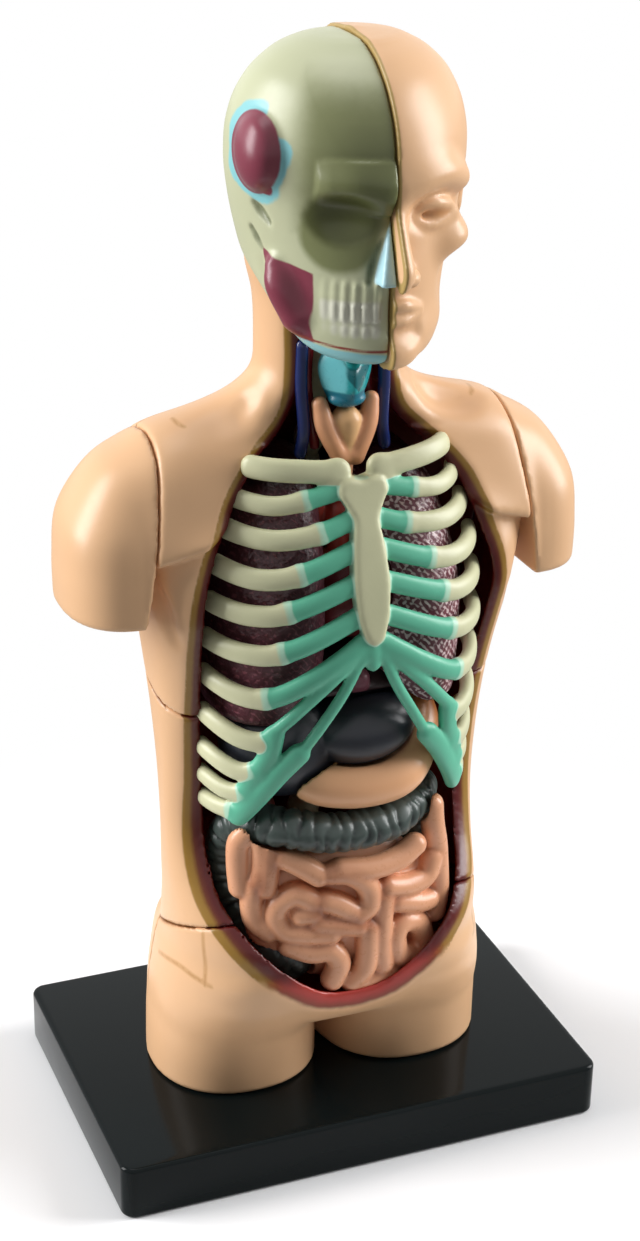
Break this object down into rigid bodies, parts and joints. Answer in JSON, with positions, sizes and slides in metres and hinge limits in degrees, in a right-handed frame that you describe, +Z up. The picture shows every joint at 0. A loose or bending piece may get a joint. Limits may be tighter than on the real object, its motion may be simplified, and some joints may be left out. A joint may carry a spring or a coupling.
{
  "type": "human body anatomy model",
  "caption": "Take-apart model of the head and trunk on a flat base: half the head is a skull, and the open front shows a removable rib cage over removable organs.",
  "frame": {"origin": "centre of the underside of the base", "axes": "+Z is up, the figure looks along -Y, and its left side is +X"},
  "size_m": [0.0534, 0.0372, 0.115],
  "materials": {
    "base_black": "polished black moulding",
    "skin": "satin painted plastic skin",
    "skull": "satin painted plastic bone",
    "bone": "satin painted plastic bone",
    "brain": "satin painted plastic",
    "cartilage": "satin painted plastic",
    "thyroid": "satin painted plastic",
    "vein": "satin painted plastic",
    "artery": "satin painted plastic",
    "lung": "grained painted plastic",
    "heart": "satin painted plastic",
    "diaphragm": "satin painted plastic",
    "liver": "satin painted plastic",
    "stomach": "satin painted plastic",
    "spleen": "satin painted plastic",
    "pancreas": "grained painted plastic",
    "kidney": "satin painted plastic",
    "colon": "satin painted plastic",
    "gut": "satin painted plastic",
    "bladder": "satin painted plastic"
  },
  "bodies": {
    "base": {"base_plate": "base_black"},
    "figure": {"back_shell": "skin", "chest_right": "skin", "chest_left": "skin", "pelvis_front": "skin", "spine_column": "bone", "larynx": "cartilage", "thyroid_gland": "thyroid", "jugular_vein_right": "vein", "jugular_vein_left": "vein", "carotid_artery_right": "artery", "carotid_artery_left": "artery", "spleen": "spleen", "pancreas": "pancreas", "kidney_right": "kidney", "kidney_left": "kidney", "bladder": "bladder"},
    "arm_right": {"arm_right": "skin"},
    "arm_left": {"arm_left": "skin"},
    "skull": {"skull_right": "skull"},
    "face": {"face_left": "skin"},
    "brain_right": {"brain_right": "brain"},
    "brain_left": {"brain_left": "brain"},
    "ribs": {"rib_cage": "bone"},
    "gut": {"small_intestine": "gut"},
    "colon": {"large_intestine": "colon"},
    "stomach": {"stomach": "stomach"},
    "liver": {"liver": "liver"},
    "heart": {"heart": "heart"},
    "lung_right": {"lung_right": "lung"},
    "lung_left": {"lung_left": "lung"},
    "diaphragm": {"diaphragm": "diaphragm"}
  },
  "joints": [
    {"name": "figure_lift", "type": "slide", "parent": "base", "child": "figure", "axis": [0, 0, 1], "range_m": [0, 0.012]},
    {"name": "arm_right_pull", "type": "slide", "parent": "figure", "child": "arm_right", "axis": [-1, 0, 0], "range_m": [0, 0.008]},
    {"name": "arm_left_pull", "type": "slide", "parent": "figure", "child": "arm_left", "axis": [1, 0, 0], "range_m": [0, 0.008]},
    {"name": "skull_pull", "type": "slide", "parent": "figure", "child": "skull", "axis": [-1, 0, 0], "range_m": [0, 0.02]},
    {"name": "brain_right_pull", "type": "slide", "parent": "figure", "child": "brain_right", "axis": [-1, 0, 0], "range_m": [0, 0.009]},
    {"name": "face_pull", "type": "slide", "parent": "figure", "child": "face", "axis": [1, 0, 0], "range_m": [0, 0.02]},
    {"name": "brain_left_pull", "type": "slide", "parent": "figure", "child": "brain_left", "axis": [1, 0, 0], "range_m": [0, 0.009]},
    {"name": "rib_cage_pull", "type": "slide", "parent": "figure", "child": "ribs", "axis": [0, -1, 0], "range_m": [0, 0.04]},
    {"name": "small_intestine_pull", "type": "slide", "parent": "figure", "child": "gut", "axis": [0, -1, 0], "range_m": [0, 0.03]},
    {"name": "large_intestine_pull", "type": "slide", "parent": "figure", "child": "colon", "axis": [0, -1, 0], "range_m": [0, 0.02]},
    {"name": "stomach_pull", "type": "slide", "parent": "figure", "child": "stomach", "axis": [0, -1, 0], "range_m": [0, 0.01]},
    {"name": "liver_pull", "type": "slide", "parent": "figure", "child": "liver", "axis": [0, -1, 0], "range_m": [0, 0.01]},
    {"name": "heart_pull", "type": "slide", "parent": "figure", "child": "heart", "axis": [0, -1, 0], "range_m": [0, 0.01]},
    {"name": "lung_right_pull", "type": "slide", "parent": "figure", "child": "lung_right", "axis": [0, -1, 0], "range_m": [0, 0.01]},
    {"name": "lung_left_pull", "type": "slide", "parent": "figure", "child": "lung_left", "axis": [0, -1, 0], "range_m": [0, 0.01]},
    {"name": "diaphragm_pull", "type": "slide", "parent": "figure", "child": "diaphragm", "axis": [0, -1, 0], "range_m": [0, 0.01]}
  ],
  "couplings": [
    {"joint": "brain_right_pull", "follows": "skull_pull", "ratio": 0.45},
    {"joint": "brain_left_pull", "follows": "face_pull", "ratio": 0.45},
    {"joint": "small_intestine_pull", "follows": "rib_cage_pull", "ratio": 0.75},
    {"joint": "large_intestine_pull", "follows": "rib_cage_pull", "ratio": 0.5},
    {"joint": "stomach_pull", "follows": "rib_cage_pull", "ratio": 0.25},
    {"joint": "liver_pull", "follows": "rib_cage_pull", "ratio": 0.25},
    {"joint": "heart_pull", "follows": "rib_cage_pull", "ratio": 0.25},
    {"joint": "lung_right_pull", "follows": "rib_cage_pull", "ratio": 0.25},
    {"joint": "lung_left_pull", "follows": "rib_cage_pull", "ratio": 0.25},
    {"joint": "diaphragm_pull", "follows": "rib_cage_pull", "ratio": 0.25}
  ]
}
